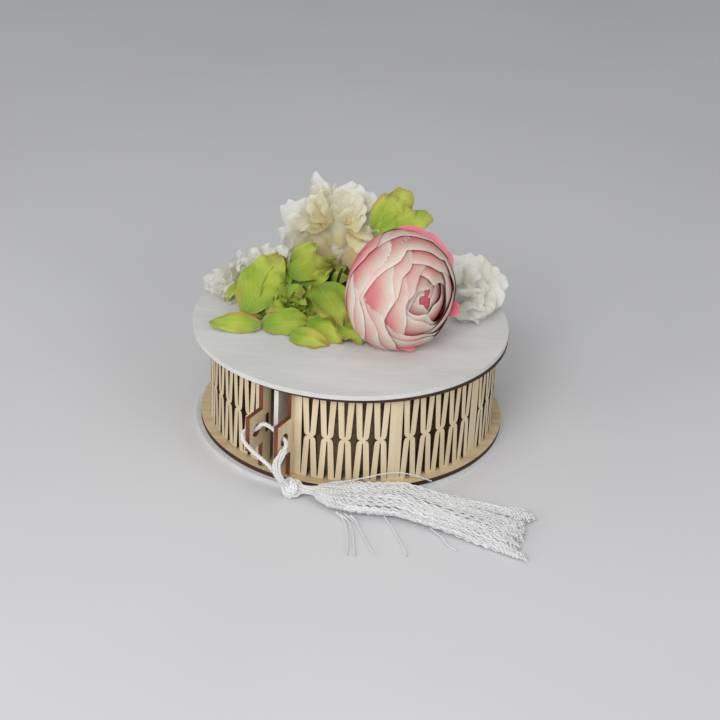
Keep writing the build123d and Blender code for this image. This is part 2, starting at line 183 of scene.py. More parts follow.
def birchFace():
    g = Graph("birchFace", Roughness=0.6)
    long = g.noise(g.coords((260, 260, 9)), 1.0, 4, 0.6)
    broad = g.noise(g.coords((30, 30, 16)), 1.0, 2)
    grain = g.ramp(long, [(0.25, "C3AC86"), (0.5, "D8C6A4"), (0.75, "E4D6BB")])
    tone = g.ramp(broad, [(0.3, "C9B38C"), (0.7, "E3D4B8")])
    g.colour(g.mix(0.45, grain, tone))
    g.bump(long, 0.1, 0.0003)
    return g.material


def birchRing():
    g = Graph("birchRing", Roughness=0.6)
    long = g.noise(g.coords((10, 260, 260)), 1.0, 4, 0.6)
    g.colour(g.ramp(long, [(0.25, "B89B70"), (0.5, "CDB894"), (0.75, "D9C7A6")]))
    g.bump(long, 0.1, 0.0003)
    return g.material


def burntEdge(name, dark, light, layer):
    g = Graph(name, Roughness=0.75)
    plies = g.noise(g.coords(layer), 1.0, 3, 0.6)
    soot = g.noise(g.coords((90, 90, 90)), 1.0, 2)
    base = g.ramp(plies, [(0.3, dark), (0.7, light)])
    g.colour(g.mix(0.4, base, g.ramp(soot, [(0.3, dark), (0.75, light)])))
    g.bump(plies, 0.2, 0.0003)
    return g.material


def partitionFace():
    g = Graph("partitionFace", Roughness=0.6)
    texture = g.add("ShaderNodeTexCoord")
    dot = g.add("ShaderNodeVectorMath", operation="DOT_PRODUCT")
    g.link(texture.outputs["Object"], dot.inputs[0])
    dot.inputs[1].default_value = (math.sin(partitionAngle), -math.cos(partitionAngle), 0)
    # white at the front end, turning tan further in
    tanTo, whiteFrom = 0.066, 0.086
    spread = g.add("ShaderNodeMapRange")
    spread.inputs["From Min"].default_value = tanTo
    spread.inputs["From Max"].default_value = whiteFrom
    g.link(dot.outputs["Value"], spread.inputs["Value"])
    long = g.noise(g.coords((260, 260, 9)), 1.0, 4, 0.6)
    innerTan = g.ramp(long, [(0.3, "B79F7C"), (0.7, "CDB997")])
    paint = g.ramp(long, [(0.3, "DCDBD8"), (0.7, "ECECEA")])
    g.colour(g.mix(spread.outputs["Result"], innerTan, paint))
    g.bump(long, 0.1, 0.0003)
    return g.material


def leafVeins(g, along, across, colour, grain, brown):
    # a midrib with slanted side veins, then browned patches along the two sides
    away = g.calc("ABSOLUTE", g.calc("SUBTRACT", across, 0.5))
    slant = g.calc("MULTIPLY_ADD", away, -1.1, along)
    side = g.ramp(g.calc("SINE", g.calc("MULTIPLY", slant, 46)), [(0.5, 0.0), (1.0, 1.0)])
    rib = g.ramp(away, [(0.0, 1.0), (0.02, 0.0)])
    colour = g.mix(g.ramp(side, [(0.0, 0.0), (1.0, 0.06)]), colour, grain)
    colour = g.mix(g.ramp(rib, [(0.0, 0.0), (1.0, 0.14)]), colour, grain)
    patchy = g.noise(g.coords((28, 28, 28)), 1.0, 2)
    edges = g.ramp(away, [(0.22, 0.0), (0.5, 1.0)])
    share = g.calc("MULTIPLY", edges, g.ramp(patchy, [(0.5, 0.0), (0.66, 0.9)]))
    return g.mix(share, colour, brown), side


def petalMaterial(
    name, stops, rim, rimColour, veins, grain,
    sheer=1.0, back=None, backShare=0.5, pinnate=False, blotch=None, glow=0.12,
):
    # the U of the map runs from the root to the tip, the V across
    g = Graph(
        name, Roughness=0.75, Subsurface_Weight=glow, Subsurface_Scale=0.003,
        Subsurface_Radius=(1, 0.8, 0.7), Alpha=sheer,
    )
    uv, along, across = g.unrolled()
    cloudy = g.noise(g.coords((70, 70, 70)), 1.0, 3)
    edge = g.ramp(along, [(rim, 0.0), (1.0, 1.0)])
    spotted = g.calc("MULTIPLY", edge, g.ramp(cloudy, [(0.35, 0.15), (0.65, 1.0)]))
    tinted = g.mix(spotted, g.ramp(along, stops), rimColour)
    stretch = g.add("ShaderNodeMapping")
    stretch.inputs["Scale"].default_value = (2, veins, 1)
    g.link(uv, stretch.inputs["Vector"])
    fine = g.noise(stretch.outputs["Vector"], 3.0, 4, 0.6)
    colour = g.mix(0.22, tinted, g.ramp(fine, [(0.3, grain), (0.7, "FFFFFF")]), "MULTIPLY")
    if back:
        geometry = g.add("ShaderNodeNewGeometry")
        behind = g.ramp(geometry.outputs["Backfacing"], [(0.0, 0.0), (1.0, backShare)])
        colour = g.mix(behind, colour, back)
    if blotch:
        tone, scale, share = blotch
        patch = g.noise(g.coords((scale, scale, scale)), 1.0, 2)
        colour = g.mix(g.ramp(patch, [(0.42, 0.0), (0.68, share)]), colour, tone)
    height = fine
    if pinnate:
        colour, side = leafVeins(g, along, across, colour, grain, rimColour)
        height = g.mix(0.5, fine, side)
    g.colour(colour)
    g.bump(height, 0.3, 0.0005)
    return g.material


def threadMaterial(name, light, dark):
    # slanted plies: U runs along the thread in turns, V round it, two plies to a turn; the darker stripe
    # between plies is painted shade in the grooves
    g = Graph(
        name, Roughness=0.22, Specular_IOR_Level=1.0, Sheen_Weight=1.0,
        Subsurface_Weight=0.4, Subsurface_Scale=0.001, Subsurface_Radius=(1, 1, 1),
    )
    _, along, across = g.unrolled()
    wave = g.calc("SINE", g.calc("MULTIPLY", g.calc("ADD", along, across), 4 * math.pi))
    g.colour(g.ramp(wave, [(0.0, dark), (0.35, light)]))
    g.bump(g.ramp(wave, [(0.0, 0.0), (1.0, 1.0)]), 0.5, 0.0004)
    return g.material


materials = {
    "paint": whitePaint(),
    "birch": birchFace(),
    "ring": birchRing(),
    "burnt": burntEdge("burntEdge", "25150C", "4C301C", (40, 40, 900)),
    "slit": burntEdge("slitEdge", "24150C", "54381F", (40, 40, 60)),
    # inner faces of the wall and leaves: dark brown as painted shade inside the closed drum, using the burnt
    # edges' ply noise
    "inside": burntEdge("insidePaintedShade", "3E2C1C", "5C4530", (60, 60, 20)),
    "redBurnt": burntEdge("earEdge", "4E2415", "8A4E2C", (60, 60, 40)),
    "partition": partitionFace(),
}
print("materials ready")


def dress(node, face, edge, isFace):
    mesh = node.data
    mesh.materials.clear()
    mesh.materials.append(materials[face])
    mesh.materials.append(materials[edge])
    for polygon in mesh.polygons:
        polygon.material_index = 0 if isFace(polygon) else 1


def flatFace(polygon):
    return abs(polygon.normal.z) > 0.9


def wallFace(polygon):
    centre = polygon.center - Vector((drumShift * mm, 0, 0))
    radial = Vector((centre.x, centre.y, 0)).normalized()
    return abs(polygon.normal.dot(radial)) > 0.9


def plateFace(angle):
    side = Vector((math.cos(angle), math.sin(angle), 0))
    return lambda polygon: abs(polygon.normal.dot(side)) > 0.9


for name in ("base_plate", "lid_plate"):
    dress(nodes[name], "paint", "paint", flatFace)
for name in ("lower_disc", "upper_disc"):
    dress(nodes[name], "ring", "burnt", flatFace)
for name in nodes:
    if name == "wall" or "_leaf_" in name:
        dress(nodes[name], "birch", "slit", wallFace)
        nodes[name].data.materials.append(materials["inside"])
        # faces turned in towards the axis get the dark brown painted shade
        for polygon in nodes[name].data.polygons:
            axis = Vector((drumShift * mm, 0, polygon.center.z))
            if wallFace(polygon) and polygon.normal.dot(polygon.center - axis) < 0:
                polygon.material_index = 2
for name in ("right_ear", "left_ear"):
    dress(nodes[name], "birch", "redBurnt", plateFace(gapAngle))
dress(nodes["partition"], "partition", "partition", plateFace(partitionAngle))
print("woodwork dressed")


def makeObject(name, verts, faces, uvs, material, body):
    mesh = bpy.data.meshes.new(name)
    mesh.from_pydata([tuple(v * mm for v in p) for p in verts], [], faces)
    layer = mesh.uv_layers.new(name="UVMap")
    for loop in mesh.loops:
        layer.data[loop.index].uv = uvs[loop.vertex_index]
    mesh.materials.append(material)
    for polygon in mesh.polygons:
        polygon.use_smooth = True
    mesh.update()
    thing = bpy.data.objects.new(name, mesh)
    bpy.context.scene.collection.objects.link(thing)
    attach(thing, body)
    return thing


class Collect:
    # gathers many small grids into one mesh
    def __init__(self):
        self.verts, self.faces, self.uvs = [], [], []

    def weave(self, start, rows, cols):
        for i in range(rows):
            for j in range(cols):
                a = start + i * (cols + 1) + j
                self.faces.append((a, a + 1, a + cols + 2, a + cols + 1))

    def grid(self, place, rows, cols):
        start = len(self.verts)
        for i in range(rows + 1):
            for j in range(cols + 1):
                u, v = i / rows, j / cols
                self.verts.append(tuple(place(u, 2 * v - 1)))
                self.uvs.append((u, v))
        self.weave(start, rows, cols)

    def tube(self, line, radius, sides, turnLength=1):
        start = len(self.verts)
        travelled, side = 0, None
        for i, p in enumerate(line):
            ahead = (line[min(i + 1, len(line) - 1)] - line[max(i - 1, 0)]).normalized()
            if side is None:
                side = ahead.orthogonal().normalized()
            side = (side - ahead * side.dot(ahead)).normalized()
            other = ahead.cross(side)
            if i:
                travelled += (p - line[i - 1]).length
            for j in range(sides + 1):
                a = 2 * math.pi * j / sides
                self.verts.append(tuple(p + (side * math.cos(a) + other * math.sin(a)) * radius))
                self.uvs.append((travelled / turnLength, j / sides))
        self.weave(start, len(line) - 1, sides)

    def ball(self, centre, radius):
        # a plain ball, its map set deep in the petal's range
        start, rings, turns = len(self.verts), 12, 20
        for i in range(rings + 1):
            for j in range(turns + 1):
                spot = towards(360 * j / turns, 180 * i / rings - 90)
                self.verts.append(tuple(centre + spot * radius))
                self.uvs.append((0.66, j / turns))
        self.weave(start, rings, turns)

    def finish(self, name, material, body):
        return makeObject(name, self.verts, self.faces, self.uvs, material, body)


def onLid(x, y, z):
    # a place in shares of the lid's radius, from the middle of its top
    return Vector((x * lidRadius, y * lidRadius, lidTop + z * lidRadius))


def towards(azimuth, elevation):
    # a direction, in degrees to the right of the front and upwards
    a, e = math.radians(azimuth), math.radians(elevation)
    return Vector((math.cos(e) * math.sin(a), -math.cos(e) * math.cos(a), math.sin(e)))


def axes(facing):
    side = Vector((0, 0, 1)).cross(facing).normalized()
    return side, facing.cross(side), facing


def wobble(p, scale, seed):
    return noise.noise(Vector((p[0] * scale + seed, p[1] * scale - seed, p[2] * scale + 2 * seed)))


# the lowest a petal may come over the lid
petalGap = 0.4


def ruffledPetal(collect, base, tip, shape, seed):
    # a cut fabric petal; shape holds its width, cup, bend, curl, pleats and their depth,
    # ragged edge, bluntness, ruffle, the fan share of its outline and the mesh's rows and columns
    along = tip - base
    length = along.length
    forward = along.normalized()
    normal = shape["normal"]
    up = (normal - forward * normal.dot(forward)).normalized()
    side = up.cross(forward)
    ragged, blunt = shape["ragged"], shape["blunt"]

    def place(u, v):
        if shape["fan"]:
            outline = 0.20 + 0.80 * math.sin(math.pi / 2 * min(1, 1.25 * u) ** blunt)
            reach = length * u * (1 - shape["fan"] * u * (1 - math.sqrt(max(0, 1 - abs(v) ** 2.6))))
        else:
            outline = max(0.0, math.sin(math.pi * (0.02 + 0.975 * u) ** blunt)) ** 0.55
            reach = length * u
        half = 0.5 * shape["width"] * outline
        reach *= 1 + ragged * u * u * wobble((v * 2.2, 0.3, 0), 1, seed + 11)
        half *= 1 + ragged * wobble((u * 4.2, v, 0.5), 1, seed + 23)
        p = base + forward * reach + side * (half * v)
        rise = shape["bend"] * length * math.sin(math.pi * u) + shape["curl"] * length * u * u * u
        rise -= shape["cup"] * half * (1 - v * v)
        rise += shape["depth"] * min(1, 1.6 * u) * math.sin(math.pi * shape["pleats"] * v + seed)
        rise += shape["ruffle"] * (0.2 + u) * (0.3 + abs(v)) * wobble((p.x, p.y, p.z), 0.14, seed)
        p = p + up * rise
        p.z = max(p.z, lidTop + petalGap)
        return p

    collect.grid(place, shape["rows"], shape["cols"])


def ballPetal(collect, bloom, row, theta, seed):
    # a broad patch of a ball that closes over the heart; row is one entry of the layers
    rim, radius, lean, spread, flare, ruffle = row
    xAxis, yAxis, zAxis = axes(bloom["facing"])
    crest = rng.uniform(-0.4, 0.4)

    def place(u, v):
        edge = rim + bloom["round"] * abs(v - crest * (1 - abs(v))) ** 1.8
        edge += bloom["wave"] * wobble((v * 1.7, 0, 0), 1, seed)
        foot = min(168, rim + bloom["length"])
        polar = math.radians(foot + (edge - foot) * u)
        width = spread * (0.5 + 0.5 * math.sin(math.pi / 2 * min(1, 1.5 * u)))
        angle = theta + width * v
        r = radius + lean * v + flare * u ** 7
        r += ruffle * u * u * wobble((math.cos(angle) * 2, math.sin(angle) * 2, u), 1.4, seed + 5)
        flat = 1 if polar < math.pi / 2 else bloom["flat"]
        out = xAxis * math.cos(angle) + yAxis * math.sin(angle)
        return bloom["centre"] + out * (r * math.sin(polar)) + zAxis * (r * flat * math.cos(polar))

    collect.grid(place, 22, 18)


roseSettings = {
    "centre": onLid(0.285, -0.25, 0.336),
    "facing": towards(42, 10),
    "core": 24,
    "coreLift": 1.6,
    "round": 24,
    "wave": 7,
    "length": 64,
    "flat": 0.55,
    # rim angle from the axis, radius, lean, half width, flare of the rim, ruffle; then petals and turn
    "outer": [
        ((126, 39.0, 0.4, 0.80, -0.2, 0.4), 5, 0.3),
        ((110, 38.8, 0.4, 0.80, -0.3, 0.4), 5, 1.0),
    ],
    "layers": [
        ((98, 38.5, 0.5, 0.80, -0.3, 0.3), 5, 0.2),
        ((87, 38.2, 0.5, 0.82, -0.4, 0.3), 5, 0.8),
        ((77, 37.8, 0.5, 0.85, -0.5, 0.3), 5, 0.4),
        ((67, 37.3, 0.6, 0.88, -0.6, 0.3), 5, 1.1),
        ((57, 36.7, 0.6, 0.95, -0.7, 0.3), 4, 0.5),
        ((48, 36.0, 0.6, 1.00, -0.8, 0.3), 4, 1.3),
        ((40, 35.1, 0.6, 1.10, -0.9, 0.3), 3, 0.2),
        ((33, 34.0, 0.6, 1.20, -1.0, 0.4), 3, 1.2),
        ((26, 32.6, 0.6, 1.30, -1.0, 0.4), 3, 2.2),
        ((20, 30.8, 0.6, 1.50, -0.9, 0.4), 2, 0.8),
        ((15, 28.6, 0.5, 1.60, -0.8, 0.4), 2, 2.4),
        ((11, 26.9, 0.5, 1.60, -0.5, 0.3), 2, 1.0),
        ((7, 26.1, 0.5, 1.50, -0.3, 0.3), 2, 2.6),
        ((3, 25.7, 0.4, 1.10, -0.1, 0.3), 1, 0.4),
    ],
    # coral petal that shows in a deep fold, its darker coral partly its own and partly painted shade in the
    # fold: layer entry and turn
    "folds": [((83, 38.5, 0.0, 0.60, -0.1, 0.2), 2.24)],
    # bright petals opened back behind the ball: picture places and heights of root and tip, then width
    "rolled": [
        (400, 272, 43, 421, 229, 67, 30), (408, 276, 42, 437, 238, 62, 30), (412, 280, 40, 447, 251, 55, 23),
        (436, 300, 24, 460, 313, 21, 11), (378, 326, 9, 369, 345, 4, 18), (390, 330, 8, 384, 350.5, 2, 20),
        (402, 332, 8, 400, 353, 1, 20),
    ],
    "rolledShape": {
        "fan": 0.45, "cup": -0.2, "bend": 0.04, "curl": 0.05, "pleats": 1.5, "depth": 0.5, "ragged": 0.05,
        "blunt": 0.7, "ruffle": 1.2, "rows": 20, "cols": 20,
    },
}
# pink petals: the deep coral toward the root, where the rim of the row above falls, is partly their own tint
# and partly painted shade in the folds; the light cream rims are partly painted highlights along the edges
pinkPetal = petalMaterial(
    "pinkPetal",
    [
        (0.0, "C85A68"), (0.66, "CC5F6C"), (0.76, "D08884"), (0.84, "D2ADA1"),
        (0.92, "D5C5B7"), (0.97, "DCD0C4"), (1.0, "E6DDD3"),
    ],
    0.95, "E6DAD0", 4, "E3BDB6", back="D2737D", backShare=0.7, blotch=("D99C98", 55, 0.5),
)
rolledPetal = petalMaterial(
    "rolledPetal", [(0.0, "C9556A"), (0.6, "DB7689"), (0.9, "E392A0"), (1.0, "EAB0B8")],
    0.9, "E9A0AA", 4, "E6909E", back="D9687E", backShare=0.6, blotch=("DB5F78", 45, 0.5),
)
foldShadePetal = petalMaterial(
    "foldShadePetal", [(0.0, "B8485A"), (0.8, "C85F6B"), (0.94, "D99693"), (1.0, "DDBBB0")],
    0.9, "DDAEA6", 4, "DBA09C", back="B8485A", blotch=("D58C8A", 60, 0.6),
)


def makeRose():
    collect = Collect()
    for row, count, turn in roseSettings["layers"]:
        for k in range(count):
            theta = turn + 2 * math.pi * k / count + rng.uniform(-0.15, 0.15)
            ballPetal(collect, roseSettings, row, theta, rng.uniform(0, 50))
    # the pink core that closes the heart, in the deep coral of the petal roots, partly painted shade in the
    # heart
    core = roseSettings["centre"] + roseSettings["facing"] * roseSettings["coreLift"]
    collect.ball(core, roseSettings["core"])
    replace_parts(collect.finish("roseBloom", pinkPetal, "box"), "rose")
    rolled = Collect()
    for row, count, turn in roseSettings["outer"]:
        for k in range(count):
            ballPetal(rolled, roseSettings, row, turn + 2 * math.pi * k / count, rng.uniform(0, 50))
    folds = Collect()
    for row, turn in roseSettings["folds"]:
        ballPetal(folds, roseSettings, row, turn, turn)
    folds.finish("roseFolds", foldShadePetal, "box")
    for x1, y1, h1, x2, y2, h2, width in roseSettings["rolled"]:
        shape = dict(roseSettings["rolledShape"], width=width, normal=towardsView)
        ruffledPetal(rolled, seen(x1, y1, h1), seen(x2, y2, h2), shape, width)
    rolled.finish("roseRolled", rolledPetal, "box")


makeRose()
print("rose ready")


# picture x and y with the height over the lid, for root and tip; then width, curl and facing turn
greenPetals = [
    # the broad ones
    (246, 312, 7, 279, 257, 31, 28.3, 0.04, -12),
    (286, 266, 26, 262, 311, 9, 16.5, -0.10, 18),
    (262, 277, 16, 288, 258, 31, 17.7, 0.10, 24),
    (288, 273, 24, 333, 264, 27, 17.7, -0.10, 8),
    (318, 284, 22, 344, 324, 10, 28.3, -0.08, 22),
    (280, 289, 20, 313, 307, 13, 15.3, -0.08, 10),
    (262, 323, 4, 310, 322, 7, 18.3, -0.05, -6),
    (261, 325, 4, 211, 323, 3, 13, 0.10, -20),
    (309, 319, 8, 343, 342, 1.5, 17.1, -0.05, 10),
    (290, 334, 4, 329, 346, 1, 14.2, -0.04, -10),
    (336, 325, 6, 363, 343, 2, 14.2, -0.06, 30),
    # the smaller ones between and behind them
    (292, 265, 24, 318, 247, 34, 14.2, 0.14, -10),
    (244, 285, 8, 224, 297, 4, 10.6, -0.10, -30),
    (241, 304, 8, 262, 315, 5, 11.8, -0.10, -20),
    (280, 285, 15, 312, 275, 20, 10.6, -0.05, 0),
    (304, 287, 16, 328, 270, 23, 13, -0.05, 10),
    (266, 313, 8, 288, 306, 12, 10.6, -0.08, 0),
    (300, 310, 9, 322, 316, 9, 11.8, -0.05, 12),
    (278, 300, 10, 300, 296, 15, 11.8, 0.00, 0),
    (326, 290, 14, 346, 296, 16, 14.2, 0.05, 30),
    (270, 296, 10, 262, 285, 18, 11.8, 0.05, -15),
    (330, 300, 8, 352, 318, 6, 14.2, 0.05, 30),
    (322, 280, 10, 346, 268, 22, 12, 0.05, 25),
    (330, 284, 12, 350, 280, 18, 12, 0.05, 35),
    (318, 272, 14, 336, 258, 26, 12, 0.10, 10),
    (300, 280, 12, 322, 262, 24, 13, 0.05, 0),
    (322, 306, 8, 342, 300, 14, 13, 0.05, 20),
    (250, 300, 8, 238, 288, 12, 12, 0.10, -20),
]
# leaves under the peony and beside the rose, a darker copy of the green as painted shade, in the same order
shadedLeaves = [
    (338, 292, 4, 326, 266, 22, 13, 0.05, 0), (336, 290, 4, 345, 266, 20, 14, 0.05, 20),
    (342, 296, 5, 352, 276, 18, 13, 0.05, 30), (330, 292, 5, 338, 272, 18, 14, 0.02, 10),
    (344, 306, 4, 356, 292, 14, 13, 0.05, 30), (346, 320, 3, 357, 306, 11, 13, 0.05, 30),
    (326, 290, 6, 316, 268, 22, 13, 0.05, -10), (352, 332, 2, 364, 322, 6, 12, 0.05, 30),
    (318, 296, 6, 308, 278, 16, 14, 0.05, 0), (296, 306, 6, 284, 288, 14, 14, 0.05, -10),
]
# a darker copy of the lime leaf: painted shade for the leaves under the peony
shadedLeaf = petalMaterial(
    "shadedLeaf",
    [(0.0, "2C3A12"), (0.5, "41561C"), (1.0, "5E7A28")],
    0.84, "5A4524", 5, "6E8A3A", back="33451A", backShare=0.5, pinnate=True,
)
limePetal = petalMaterial(
    "limePetal",
    [(0.0, "4F7A10"), (0.2, "8AAC24"), (0.5, "D2D64C"), (0.85, "E4E66C"), (0.95, "CFBE6C"), (1.0, "B07A48")],
    0.78, "B98A57", 5, "E0E896", back="849C2C", backShare=0.6, pinnate=True, blotch=("6F9420", 40, 0.65),
)
greenShape = {
    "fan": 0, "cup": -0.28, "bend": 0.10, "pleats": 1.4, "depth": 0.9, "ragged": 0.09,
    "blunt": 0.86, "ruffle": 5.0, "rows": 24, "cols": 16,
}
greenHeart = {"place": (-0.36, -0.02, 0.0), "leaves": 26}


def makeGreen():
    collect = Collect()
    for x1, y1, h1, x2, y2, h2, width, curl, turn in greenPetals:
        base, tip = seen(x1, y1, h1), seen(x2, y2, h2)
        lift = Matrix.Rotation(math.radians(turn), 3, Vector((0, 0, 1))) @ towardsView
        shape = dict(greenShape, width=width, curl=curl, normal=lift + Vector((0, 0, 0.35)))
        shape["cup"] = rng.uniform(-0.5, 0.25)
        ruffledPetal(collect, base, tip, shape, rng.uniform(0, 60))
    # a mass of leaves behind them that closes the gaps
    heart = onLid(*greenHeart["place"])
    for _ in range(greenHeart["leaves"]):
        azimuth, climb = rng.uniform(-120, 120), rng.uniform(10, 75)
        root = heart + towards(azimuth, 10) * 6
        tip = heart + towards(azimuth, climb) * rng.uniform(18, 26)
        shape = dict(greenShape, width=rng.uniform(12, 16), curl=0.05, normal=towards(azimuth, climb + 60))
        ruffledPetal(collect, root, tip, shape, rng.uniform(0, 60))
    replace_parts(collect.finish("greenPetals", limePetal, "box"), "green_cluster")
    under = Collect()
    for x1, y1, h1, x2, y2, h2, width, curl, turn in shadedLeaves:
        lift = Matrix.Rotation(math.radians(turn), 3, Vector((0, 0, 1))) @ towardsView
        shape = dict(greenShape, width=width, curl=curl, normal=lift)
        ruffledPetal(under, seen(x1, y1, h1), seen(x2, y2, h2), shape, rng.uniform(0, 60))
    under.finish("shadedLeaves", shadedLeaf, "box")


makeGreen()
print("green cluster ready")

# picture x and y with the height over the lid for each tip, then width, curl and pleats
peonyTips = [
    # back row, standing up
    (290, 238, 36, 29, 0.10, 2.1), (286, 222, 44, 26, 0.15, 1.9), (297, 206, 50, 26, 0.10, 1.8),
    (314, 186, 60, 16, 0.16, 1.6), (323, 184, 61, 12, -0.10, 1.6), (334, 192, 58, 31, 0.06, 2.1),
    (350, 190, 59, 31, 0.05, 2.4), (365, 193, 58, 29, 0.02, 1.9), (377, 203, 54, 26, 0.06, 1.9),
    (384, 216, 48, 23, 0.10, 2.1), (380, 230, 42, 21, 0.10, 1.6),
    # middle row
    (303, 226, 40, 27, 0.02, 2.1), (316, 214, 46, 29, -0.04, 2.4), (330, 208, 50, 29, -0.08, 2.1),
    (345, 211, 50, 29, -0.10, 2.1), (359, 209, 52, 26, -0.08, 2.4), (370, 219, 46, 25, -0.04, 2.1),
    # front row, low and tan
    (312, 236, 32, 23, -0.14, 1.8), (323, 225, 38, 25, -0.18, 2.1), (338, 229, 36, 26, -0.22, 2.1),
    (352, 226, 38, 25, -0.22, 1.9), (364, 235, 34, 22, -0.16, 1.8), (330, 242, 28, 22, -0.26, 1.8),
    (346, 244, 27, 22, -0.26, 1.6), (337, 249, 24, 22, -0.22, 1.8), (326, 251, 23, 19, -0.2, 1.8),
    (350, 252, 22, 18, -0.2, 1.8), (333, 259, 18, 21, -0.15, 1.8), (345, 258, 18, 19, -0.15, 1.8),
]
creamPetal = petalMaterial(
    "creamPetal",
    [(0.0, "D9B65C"), (0.3, "F0DA8C"), (0.5, "F2E4A4"), (0.7, "F4F0D6"), (1.0, "F6F6EE")],
    0.9, "F8F8F2", 16, "D9D3B0", back="EAE6CC", backShare=0.4, sheer=0.68, blotch=("DACB93", 45, 0.3), glow=0.4,
)
peonyShape = {
    "fan": 0.30, "cup": -0.30, "bend": -0.12, "depth": 0.7, "ragged": 0.14,
    "blunt": 0.9, "ruffle": 3.0, "rows": 24, "cols": 26,
}


# thin see-through petals round its top, as picture places and heights of root and tip, width and curl
peonyWisps = [
    (326, 228, 40, 317, 181, 63, 15, 0.10), (330, 225, 42, 331, 186, 60, 14, -0.05),
    (312, 240, 34, 294, 205, 50, 22, 0.15), (310, 246, 30, 287, 222, 42, 22, 0.10),
    (306, 250, 28, 286, 240, 34, 20, 0.15), (340, 222, 44, 352, 189, 60, 24, 0.10),
    (352, 224, 44, 372, 196, 58, 24, 0.12), (360, 230, 42, 384, 210, 52, 20, 0.15),
]
wispPetal = petalMaterial(
    "wispPetal", [(0.0, "CFC089"), (0.4, "E9E6CC"), (1.0, "F8F8F4")],
    0.9, "FDFDFA", 22, "D8D8CC", sheer=0.5, glow=0.3,
)


def backRuffles(collect, petalShape, centre, radius, count, width, side=105):
    # petals that fill a bloom at its back, as far round as side, in degrees from the back
    for k in range(count):
        out = towards(180 - side + 2 * side * (k * 0.618 % 1), -12 + 78 * (k + 0.5) / count)
        shape = dict(petalShape, width=width, curl=-0.1, pleats=2.1, normal=Vector((0, 0, 1.4)) - out)
        tip = centre + out * radius * rng.uniform(0.92, 1.0)
        tip.z = max(tip.z, lidTop + 1)
        ruffledPetal(collect, centre + out * radius * 0.25, tip, shape, rng.uniform(0, 60))


def makePeony():
    collect = Collect()
    root = seen(340, 268, 12)
    for x, y, height, width, curl, pleats in peonyTips:
        tip = seen(x, y, height)
        out = (tip - root).normalized()
        base = root + out * 3 + Vector((0, (tip.y - root.y) * 0.25, 0))
        shape = dict(peonyShape, width=width, curl=curl, pleats=pleats, normal=towardsView)
        ruffledPetal(collect, base, tip, shape, rng.uniform(0, 60))
    backRuffles(collect, peonyShape, onLid(-0.122, 0.56, 0.36), 29, 22, 29)
    foot = Vector((root.x, root.y + 8, lidTop))
    collect.tube([foot, foot + Vector((0, 0, 10)), root + Vector((0, 3, 6))], 2.4, 10)
    wisps = Collect()
    for x1, y1, h1, x2, y2, h2, width, curl in peonyWisps:
        shape = dict(peonyShape, width=width, curl=curl, pleats=2.6, normal=towardsView, ragged=0.22)
        ruffledPetal(wisps, seen(x1, y1, h1), seen(x2, y2, h2), shape, rng.uniform(0, 60))
    wisps.finish("peonyWisps", wispPetal, "box")
    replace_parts(collect.finish("peonyBloom", creamPetal, "box"), "cream_peony")


makePeony()
print("peony ready")

# root and body, then picture x and y with the height over the lid for each tip, its width and curl
whiteFlowers = {
    "white_flower_left": {
        "root": (247, 277, 8),
        "body": (onLid(-0.63, 0.33, 0.10), 17),
        "tips": [
            (203, 283, 5, 11, 0.10), (206, 290, 2, 12, 0.02), (213, 297, 1.5, 13, 0.05),
            (224, 302, 1.5, 13, 0.02), (213, 277, 9, 12, 0.15), (222, 270, 14, 13, 0.15),
            (233, 262, 20, 19, 0.15), (240, 254, 24, 20, 0.12), (252, 250, 27, 19, 0.05),
            (264, 252, 28, 18, 0.05), (276, 250, 30, 18, 0.0), (289, 252, 30, 16, 0.0),
            (228, 272, 14, 16, 0.18), (238, 268, 18, 14, 0.0), (248, 263, 21, 14, -0.1),
            (258, 264, 21, 14, -0.1), (296, 256, 28, 15, 0.0),
        ],
    },
    "white_flower_right": {
        "root": (468, 300, 9),
        "body": (onLid(0.70, 0.24, 0.12), 17),
        "tips": [
            (463, 257, 27, 22, 0.05), (478, 258, 26, 22, 0.06), (491, 268, 21, 18, 0.10),
            (499, 277, 16, 20, 0.10), (498, 292, 10, 22, 0.12), (492, 309, 4, 22, 0.12),
            (479, 322, 1.5, 24, 0.08), (465, 324, 1, 20, 0.05), (470, 272, 21, 18, -0.10),
            (484, 284, 16, 20, -0.10), (478, 302, 9, 20, -0.08), (468, 288, 17, 19, -0.25),
            (477, 293, 14, 19, -0.20), (471, 311, 8, 20, -0.15), (484, 300, 12, 18, -0.2),
        ],
    },
}
whitePetal = petalMaterial(
    "whitePetal",
    [(0.0, "DAD6B2"), (0.25, "ECEADA"), (0.6, "F4F4EE"), (1.0, "FAFAF8")],
    0.9, "F8F8F6", 12, "D9D9C8", back="ECECE0", backShare=0.4, sheer=0.7, blotch=("D9D3B8", 40, 0.35), glow=0.4,
)
whiteShape = {
    "fan": 0.30, "cup": -0.30, "bend": -0.10, "pleats": 2.0, "depth": 0.6, "ragged": 0.14,
    "blunt": 0.8, "ruffle": 2.6, "rows": 20, "cols": 20,
}


def makeWhites():
    for nodeName, flower in whiteFlowers.items():
        collect = Collect()
        root = seen(*flower["root"])
        for x, y, height, width, curl in flower["tips"]:
            tip = seen(x, y, height)
            base = root + (tip - root).normalized() * 2
            shape = dict(whiteShape, width=width, curl=curl, normal=towardsView + Vector((0, 0, 0.4)))
            ruffledPetal(collect, base, tip, shape, rng.uniform(0, 60))
        backRuffles(collect, whiteShape, *flower["body"], 12, 18, 70)
        foot = Vector((root.x, root.y, lidTop))
        collect.tube([foot, (foot + root) / 2, root], 2.2, 8)
        name = "".join(word.capitalize() for word in nodeName.split("_"))
        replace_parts(collect.finish(name, whitePetal, "box"), nodeName)


makeWhites()

